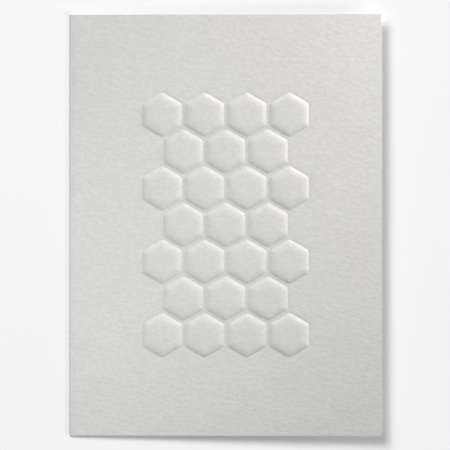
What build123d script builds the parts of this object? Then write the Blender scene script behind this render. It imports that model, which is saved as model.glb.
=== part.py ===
from build123d import *
import math
import os

# A greeting card lying closed on its back: one sheet of heavy cotton paper, creased once down
# its left side. The front leaf springs up a little and carries a block of embossed cells, which
# are the same sheet pressed up from behind: raised on the outside and hollow on the inside.
# X runs across the card from the fold to the free edges, Y up the card and Z up from the table.

# The folded sheet, in millimetres and degrees
card_width = 115.0  # closed, from the fold to the free edge of the back leaf
card_height = 155.0
paper_thickness = 0.5
fold_inside_radius = 0.3
spring_angle = 3.0  # from the back leaf up to the front leaf

# The block of six-sided cells, in long rows with short rows of one cell fewer between them
cell_pitch = 15.6  # from one cell to the next along a row
channel_width = 1.6  # flat paper between two cells
cells_in_long_row = 4
long_rows = 4

# The section of one cell, a low cushion whose six sloping sides round over into a flat crown
rim_slope = 30.0  # between a cell's side and the flat paper
relief_height = 0.65  # from the flat paper to the crown
shoulder_inside_radius = 3.0  # between a cell's side and its crown, on the inside of the card

# What follows from the sizes above
fold_outside_radius = fold_inside_radius + paper_thickness
shoulder_outside_radius = shoulder_inside_radius + paper_thickness
leaf_length = card_width - fold_outside_radius
cell_apothem = (cell_pitch - channel_width) / 2
row_pitch = cell_pitch * math.sin(math.radians(60))
# A sheet that bends upwards carries its inner face sideways by this much at the bend
bend_shift = paper_thickness * math.tan(math.radians(rim_slope / 2))


def cushion(apothem, shoulder):
    """One cell standing on the XY plane, with sloping sides, a round shoulder and a flat top."""
    with BuildPart() as form:
        with BuildSketch():
            RegularPolygon(apothem, 6, major_radius=False, rotation=30)
        extrude(amount=relief_height, taper=90 - rim_slope)
        fillet(form.edges().group_by(Axis.Z)[-1], shoulder)
    return form.part


def stamp(cell, face, mode):
    """Set the cell at every place of the block on a face of the front leaf."""
    with Locations(face):
        for short in (0, 1):
            with GridLocations(cell_pitch, 2 * row_pitch, cells_in_long_row - short, long_rows - short):
                add(cell, mode=mode)


raised_cell = cushion(cell_apothem, shoulder_outside_radius)
hollow_cell = cushion(cell_apothem - bend_shift, shoulder_inside_radius)

with BuildPart() as card:
    # The sheet's section: back leaf on the table, round the fold, front leaf
    with BuildSketch(Plane.XZ):
        with BuildLine():
            back = Line((card_width / 2, 0), (card_width / 2 - leaf_length, 0))
            fold = JernArc(back @ 1, back % 1, fold_outside_radius, spring_angle - 180)
            PolarLine(fold @ 1, leaf_length, direction=fold % 1)
            offset(amount=paper_thickness, side=Side.RIGHT)
        make_face()
    extrude(amount=card_height / 2, both=True)

    # The embossing of the front leaf
    leaf_faces = card.faces().group_by(SortBy.AREA)[-1]
    front_outside = leaf_faces.sort_by(Axis.Z)[-1]
    outside = Plane(front_outside.center(), x_dir=(1, 0, 0), z_dir=front_outside.normal_at())
    stamp(raised_cell, outside, Mode.ADD)
    stamp(hollow_cell, outside.offset(-paper_thickness), Mode.SUBTRACT)

card.part.label = "card"
os.makedirs("parts", exist_ok=True)
export_step(card.part, "parts/card.step")
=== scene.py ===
import math

import bmesh
import bpy
import numpy as np
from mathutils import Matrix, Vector


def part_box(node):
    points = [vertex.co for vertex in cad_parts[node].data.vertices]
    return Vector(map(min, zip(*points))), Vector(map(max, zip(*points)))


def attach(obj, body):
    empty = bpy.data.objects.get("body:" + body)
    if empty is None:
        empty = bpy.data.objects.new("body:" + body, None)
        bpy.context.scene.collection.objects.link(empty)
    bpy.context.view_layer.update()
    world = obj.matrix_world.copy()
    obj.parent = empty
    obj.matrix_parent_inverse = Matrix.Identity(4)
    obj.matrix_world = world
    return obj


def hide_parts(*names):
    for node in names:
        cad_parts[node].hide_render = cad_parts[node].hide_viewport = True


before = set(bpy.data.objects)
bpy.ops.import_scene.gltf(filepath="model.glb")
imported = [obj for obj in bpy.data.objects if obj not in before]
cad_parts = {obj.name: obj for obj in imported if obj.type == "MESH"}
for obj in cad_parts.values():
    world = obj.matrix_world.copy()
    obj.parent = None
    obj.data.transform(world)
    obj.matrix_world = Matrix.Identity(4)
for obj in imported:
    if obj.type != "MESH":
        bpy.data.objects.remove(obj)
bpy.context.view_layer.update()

# The card
# One sheet of heavy white cotton paper, felt-marked on both faces, creased once and folded so that
# it opens at the right. The front leaf is embossed blind between two dies: each cell stands up on
# the outside and is hollow on the inside, with no ink or foil.

mm = 0.001
hair = 0.01 * mm  # points closer than this are one point
card_low, card_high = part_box("card")
paper_thickness = 0.5 * mm
fold_radius = 0.8 * mm  # to the outside of the paper
fold_steps = 10
spring_angle = math.radians(3)  # from the back leaf up to the front leaf
leaf_length = card_high.x - card_low.x - fold_radius
fold_length = fold_radius * (math.pi - spring_angle)
fold_middle = Vector((card_low.x + fold_radius, 0, card_low.z + fold_radius))

cell_pitch = 15.6 * mm  # from one cell to the next along a row
row_pitch = cell_pitch * math.sin(math.radians(60))
channel_width = 1.6 * mm  # paper between two cells
cells_in_long_row = 4
long_rows = 4

cell_apothem = (cell_pitch - channel_width) / 2
relief_height = 0.66 * mm
shoulder_reach = 0.95 * mm  # how far in from its rim a cell climbs to two thirds of its height
corner_reach = 0.3 * mm  # how far the rounding of its six corners reaches
root_reach = 0.08 * mm  # the height over which its side rounds into the paper at its foot
moat_depth = 0.2 * mm  # the sheet is drawn down a little round each cell
moat_width = 0.8 * mm  # how far out from the cell that dip shrinks to a third


def place_on_card(along, across, height):
    """Where a place on the flat sheet's outer face lies once folded, along being 0 where the fold ends."""
    bent = min(max(along, -fold_length), 0)
    angle = math.pi / 2 + spring_angle - bent / fold_radius
    outwards = Vector((math.cos(angle), 0, math.sin(angle)))
    forwards = Vector((math.sin(angle), 0, -math.cos(angle)))
    side = Vector((0, across, 0))
    return fold_middle + outwards * (fold_radius + height) + forwards * (along - bent) + side


def rounded_min(first, second, reach):
    """The lower of two heights, with the corner between them rounded off."""
    blend = np.maximum(reach - np.abs(first - second), 0)
    return np.minimum(first, second) - blend**2 / (4 * reach)


def relief(x, y, cells):
    """How far the press has moved each place of the sheet, measured from the middle of the block."""
    raised = np.full(len(x), -np.inf)
    undrawn = np.ones(len(x))
    for middle in cells:
        across = [
            np.abs((x - middle.x) * math.cos(turn) + (y - middle.y) * math.sin(turn))
            for turn in (0, math.pi / 3, 2 * math.pi / 3)
        ]
        inside = cell_apothem - corner_reach * np.logaddexp.reduce(np.array(across) / corner_reach)
        raised = np.maximum(raised, relief_height * (1 - np.exp(-inside / shoulder_reach)))
        undrawn *= 1 - np.exp(np.minimum(inside, 0) / moat_width)
    return -rounded_min(-raised, moat_depth * (1 - undrawn), root_reach)


def six_sided_ring(middle, apothem, side_steps):
    """Points round a six-sided outline that stands on a corner, closer together near its corners."""
    reach = apothem / math.cos(math.pi / 6)
    turns = [math.radians(30 + 60 * k) for k in range(6)]
    corners = [middle + Vector((math.cos(turn), math.sin(turn))) * reach for turn in turns]
    shares = [(1 - math.cos(math.pi * k / side_steps)) / 2 for k in range(side_steps)]
    return [
        start.lerp(end, share)
        for start, end in zip(corners, corners[1:] + corners[:1])
        for share in shares
    ]


# The flat leaf is laid out as six-sided tiles, each made of rings of points. A ring is given by how
# far in it lies from the tile's outline, and they are closest where the press bends the sheet most.
side_steps = 8
channel_rings = np.linspace(0, 0.5, 4) * mm
rim_rings = np.arange(0.6, 1.25, 0.1) * mm
shoulder_rings = np.arange(1.4, 3.3, 0.2) * mm
crown_rings = np.geomspace(3.6, 7.0, 5) * mm
cell_rings = np.concatenate((channel_rings, rim_rings, shoulder_rings, crown_rings))
margin_rings = np.linspace(0, 1.5, 7) ** 2 * mm
plain_rings = [0]
rings_by_distance = (cell_rings, margin_rings, plain_rings)  # on a cell, beside one and further off
rows_out = math.ceil(card_high.y / row_pitch) + 1
columns_out = math.ceil(leaf_length / 2 / cell_pitch) + 1
places = [
    Vector(((column + row % 2 / 2) * cell_pitch, row * row_pitch))
    for row in range(-rows_out, rows_out + 1)
    for column in range(-columns_out, columns_out + 1)
]
block_reach = Vector((cells_in_long_row * cell_pitch / 2, long_rows * row_pitch))
cells = [p for p in places if abs(p.x) < block_reach.x - hair and abs(p.y) < block_reach.y - hair]

sheet = bmesh.new()
for middle in places:
    pitches_away = round(min((middle - cell).length for cell in cells) / cell_pitch)
    insets = rings_by_distance[min(pitches_away, len(rings_by_distance) - 1)]
    rings = []
    for inset in insets:
        points = six_sided_ring(middle, cell_pitch / 2 - inset, side_steps)
        rings.append([sheet.verts.new((p.x + leaf_length / 2, p.y, 0)) for p in points])
    for outer, inner in zip(rings, rings[1:]):
        for k in range(len(outer)):
            sheet.faces.new((outer[k - 1], outer[k], inner[k], inner[k - 1]))
    hub = sheet.verts.new((middle.x + leaf_length / 2, middle.y, 0))
    innermost = rings[-1]
    for k in range(len(innermost)):
        sheet.faces.new((innermost[k - 1], innermost[k], hub))
bmesh.ops.remove_doubles(sheet, verts=sheet.verts, dist=hair)

# Trimmed to the front leaf, then carried on round the fold and along the back leaf
trims = [((0, 0, 0), (-1, 0, 0)), ((leaf_length, 0, 0), (1, 0, 0))]
trims += [((0, card_low.y, 0), (0, -1, 0)), ((0, card_high.y, 0), (0, 1, 0))]
for point, outwards in trims:
    everything = sheet.verts[:] + sheet.edges[:] + sheet.faces[:]
    bmesh.ops.bisect_plane(sheet, geom=everything, plane_co=point, plane_no=outwards, clear_outer=True)
stops = [-fold_length * (k + 1) / fold_steps for k in range(fold_steps)] + [-fold_length - leaf_length]
line = sorted((vertex for vertex in sheet.verts if abs(vertex.co.x) < hair), key=lambda vertex: vertex.co.y)
for stop in stops:
    next_line = [sheet.verts.new((stop, vertex.co.y, 0)) for vertex in line]
    for k in range(1, len(line)):
        sheet.faces.new((line[k - 1], line[k], next_line[k], next_line[k - 1]))
    line = next_line

# Pressed and folded, then given its thickness on the inner side
flat = np.array([vertex.co for vertex in sheet.verts])
heights = relief(flat[:, 0] - leaf_length / 2, flat[:, 1], cells)
pressed = sheet.verts.layers.float.new("pressed")
for vertex, height in zip(sheet.verts, heights):
    vertex[pressed] = height / relief_height
    vertex.co = place_on_card(vertex.co.x, vertex.co.y, height)

outer_face = bpy.data.meshes.new("outer_face")
sheet.to_mesh(outer_face)
sheet.free()
card = bpy.data.objects.new("folded_card", outer_face)
bpy.context.collection.objects.link(card)
thicken = card.modifiers.new("thicken", "SOLIDIFY")
thicken.thickness = paper_thickness
thicken.offset = -1
thicken.use_even_offset = True
thicken.use_quality_normals = True
whole = bpy.data.meshes.new_from_object(card.evaluated_get(bpy.context.evaluated_depsgraph_get()))
card.modifiers.clear()
card.data = whole
cut_edge_angle = math.radians(60)  # only the paper's cut edges are sharper than this
whole.shade_smooth()
whole.set_sharp_from_angle(angle=cut_edge_angle)


class Value:
    """One output in a node tree. Sums, differences and products of outputs add their own Math nodes."""

    def __init__(self, tree, socket=None):
        self.tree = tree
        self.socket = socket

    def node(self, kind, settings, inputs, output=0):
        """Adds a node, sets it up, then gives its inputs their values or links."""
        made = self.tree.nodes.new(kind)
        for name, setting in settings.items():
            setattr(made, name, setting)
        for name, value in inputs.items():
            if isinstance(value, Value):
                self.tree.links.new(value.socket, made.inputs[name])
            else:
                made.inputs[name].default_value = value
        return Value(self.tree, made.outputs[output])

    def math(self, operation, first, second):
        return self.node("ShaderNodeMath", {"operation": operation}, {0: first, 1: second})

    def __add__(self, other):
        return self.math("ADD", self, other)

    def __sub__(self, other):
        return self.math("SUBTRACT", self, other)

    def __rsub__(self, other):
        return self.math("SUBTRACT", other, self)

    def __mul__(self, other):
        return self.math("MULTIPLY", self, other)

    __radd__ = __add__
    __rmul__ = __mul__


def cotton_paper():
    """White cotton paper: soft mottle, felt marks that run across the sheet with a painted shade in their
    pits, and a fine tooth.
    """
    # The darker white is a painted shade for the pits of the felt marks, and the lighter one is the paper's
    # own white
    pit_shade_white = (0.656, 0.653, 0.647, 1)
    top_white = (0.852, 0.849, 0.842, 1)
    mottle_share = 0.2  # of the change from one white to the other, the felt marks making the rest
    pit_roughness = 0.86
    top_roughness = 0.98
    felt_depth = 0.09 * mm
    streak_depth = 0.015 * mm
    tooth_depth = 0.006 * mm
    flattened = 0.35  # the share of those depths which the dies take away on top of a cell
    burnish = 0.3  # how much less rough they leave the paper on a cell's rim

    paper = bpy.data.materials.new("cotton_paper")
    paper.use_nodes = True
    tree = paper.node_tree
    shader = tree.nodes["Principled BSDF"]
    paint = Value(tree)
    place = paint.node("ShaderNodeTexCoord", {}, {}, "Object")

    def marks(narrowing, per_metre, detail):
        """Cloudy marks, made longer across the sheet where the narrowing is less than one."""
        stretch = (narrowing, 1, 1)
        drawn = paint.node("ShaderNodeVectorMath", {"operation": "MULTIPLY"}, {0: place, 1: stretch})
        return paint.node("ShaderNodeTexNoise", {}, {"Vector": drawn, "Scale": per_metre, "Detail": detail})

    mottle = marks(narrowing=0.7, per_metre=120, detail=3)
    felt = marks(narrowing=0.62, per_metre=850, detail=3)
    streaks = marks(narrowing=0.25, per_metre=600, detail=1)
    tooth = marks(narrowing=0.8, per_metre=3000, detail=1)

    # The pressing is 0 on the flat paper and 1 at a cell's full height, and the rim lies half way up
    pressing = paint.node("ShaderNodeAttribute", {"attribute_name": "pressed"}, {}, "Fac")
    rim = paint.math("MAXIMUM", 4 * pressing * (1 - pressing), 0)
    depth = felt * felt_depth + streaks * streak_depth + tooth * tooth_depth
    grain = depth * (1 - pressing * flattened)
    bump = paint.node("ShaderNodeBump", {}, {"Strength": 1, "Distance": 1, "Height": grain}, "Normal")
    roughness = pit_roughness + (top_roughness - pit_roughness) * felt - burnish * rim

    # Of a Mix node's many sockets, 6 and 7 take its colours and output 2 gives the mixed one
    # The colour follows the felt marks' height as a painted shade in their pits, and the mottle as the
    # paper's own uneven tone
    whiteness_and_pit_shade = felt * (1 - mottle_share) + mottle * mottle_share
    colours = {0: whiteness_and_pit_shade, 6: pit_shade_white, 7: top_white}
    white = paint.node("ShaderNodeMix", {"data_type": "RGBA"}, colours, 2)
    for name, value in (("Base Color", white), ("Roughness", roughness), ("Normal", bump)):
        tree.links.new(value.socket, shader.inputs[name])
    return paper


whole.materials.clear()
whole.materials.append(cotton_paper())
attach(card, "root")
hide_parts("card")

# The table
# A plain pale table top under the card, matt and without a pattern. It is wide enough to take the
# card's shadow and to fill the view from most sides, and past its edge the backdrop is as pale.

table_reach = 0.9
table_white = (0.93, 0.93, 0.93, 1)
low, high = -table_reach, table_reach
corners = [(x, y, card_low.z) for x, y in ((low, low), (high, low), (high, high), (low, high))]
table_mesh = bpy.data.meshes.new("table")
table_mesh.from_pydata(corners, [], [(0, 1, 2, 3)])
table = bpy.data.objects.new("table", table_mesh)
bpy.context.collection.objects.link(table)
table_paint = bpy.data.materials.new("pale_table")
table_paint.use_nodes = True
table_shader = table_paint.node_tree.nodes["Principled BSDF"]
table_shader.inputs["Base Color"].default_value = table_white
table_shader.inputs["Roughness"].default_value = 0.9
table_shader.inputs["Specular IOR Level"].default_value = 0.1
table_mesh.materials.append(table_paint)

# The light
# A near soft box at the right and a weaker one at the top rake across the paper, and a small one
# fills in from above. Two far ones light the table alone: the strong one throws the card's shadow
# to the right and down, and the weak one leaves a faint shade along the fold.

warm_light = (1, 0.98, 0.946)


def soft_box(name, place, size, watts, lit, colour=(1, 1, 1)):
    """A square lamp that faces the card and lights one object."""
    data = bpy.data.lights.new(name, "AREA")
    data.shape = "SQUARE"
    data.size = size
    data.energy = watts
    data.color = colour
    lamp = bpy.data.objects.new(name, data)
    lamp.location = place
    lamp.visible_camera = False
    lamp.rotation_mode = "QUATERNION"
    lamp.rotation_quaternion = Vector(place).to_track_quat("Z", "Y")
    bpy.context.collection.objects.link(lamp)
    receivers = bpy.data.collections.new(name + "_receivers")
    receivers.objects.link(lit)
    lamp.light_linking.receiver_collection = receivers


soft_box("raking_light", place=(0.278, 0.181, 0.113), size=0.175, watts=1.22, lit=card, colour=warm_light)
soft_box("top_light", place=(-0.127, 0.324, 0.104), size=0.181, watts=0.448, lit=card)
soft_box("fill_light", place=(-0.085, -0.046, 0.154), size=0.091, watts=0.122, lit=card)
soft_box("table_light", place=(-0.75, 0.97, 1.8), size=1.0, watts=35.8, lit=table)
soft_box("table_fill", place=(1.4, -0.65, 1.2), size=1.0, watts=11.2, lit=table)

# A dim even light from all round, seen by the camera and in reflections as a pale backdrop
room_strength = 0.219
backdrop_white = (0.92, 0.92, 0.92, 1)
world = bpy.data.worlds.new("studio")
world.use_nodes = True
bpy.context.scene.world = world
air = Value(world.node_tree)
rays = ("Is Camera Ray", "Is Glossy Ray", "Is Transmission Ray")
seen = sum(air.node("ShaderNodeLightPath", {}, {}, ray) for ray in rays)
around = air.node("ShaderNodeBackground", {}, {"Color": (1, 1, 1, 1), "Strength": room_strength})
backdrop = air.node("ShaderNodeBackground", {}, {"Color": backdrop_white, "Strength": 1})
shown = air.node("ShaderNodeMixShader", {}, {0: seen, 1: around, 2: backdrop})
world_output = world.node_tree.nodes["World Output"]
world.node_tree.links.new(shown.socket, world_output.inputs["Surface"])

# The view
# A camera far above the card, looking straight down through a long lens, so that the sheet shows
# square and with hardly any perspective. The card stands upright in the picture.

picture_width = 165.6 * mm  # across the picture at the front leaf
front_height = (card_low.z + card_high.z) / 2
lens = 400.0
sensor_width = 36.0
camera_data = bpy.data.cameras.new("camera")
camera_data.lens = lens
camera_data.sensor_width = sensor_width
camera = bpy.data.objects.new("camera", camera_data)
camera.location = (0, 0, front_height + picture_width * lens / sensor_width)
bpy.context.collection.objects.link(camera)
bpy.context.scene.camera = camera
bpy.context.scene.view_settings.view_transform = "Standard"
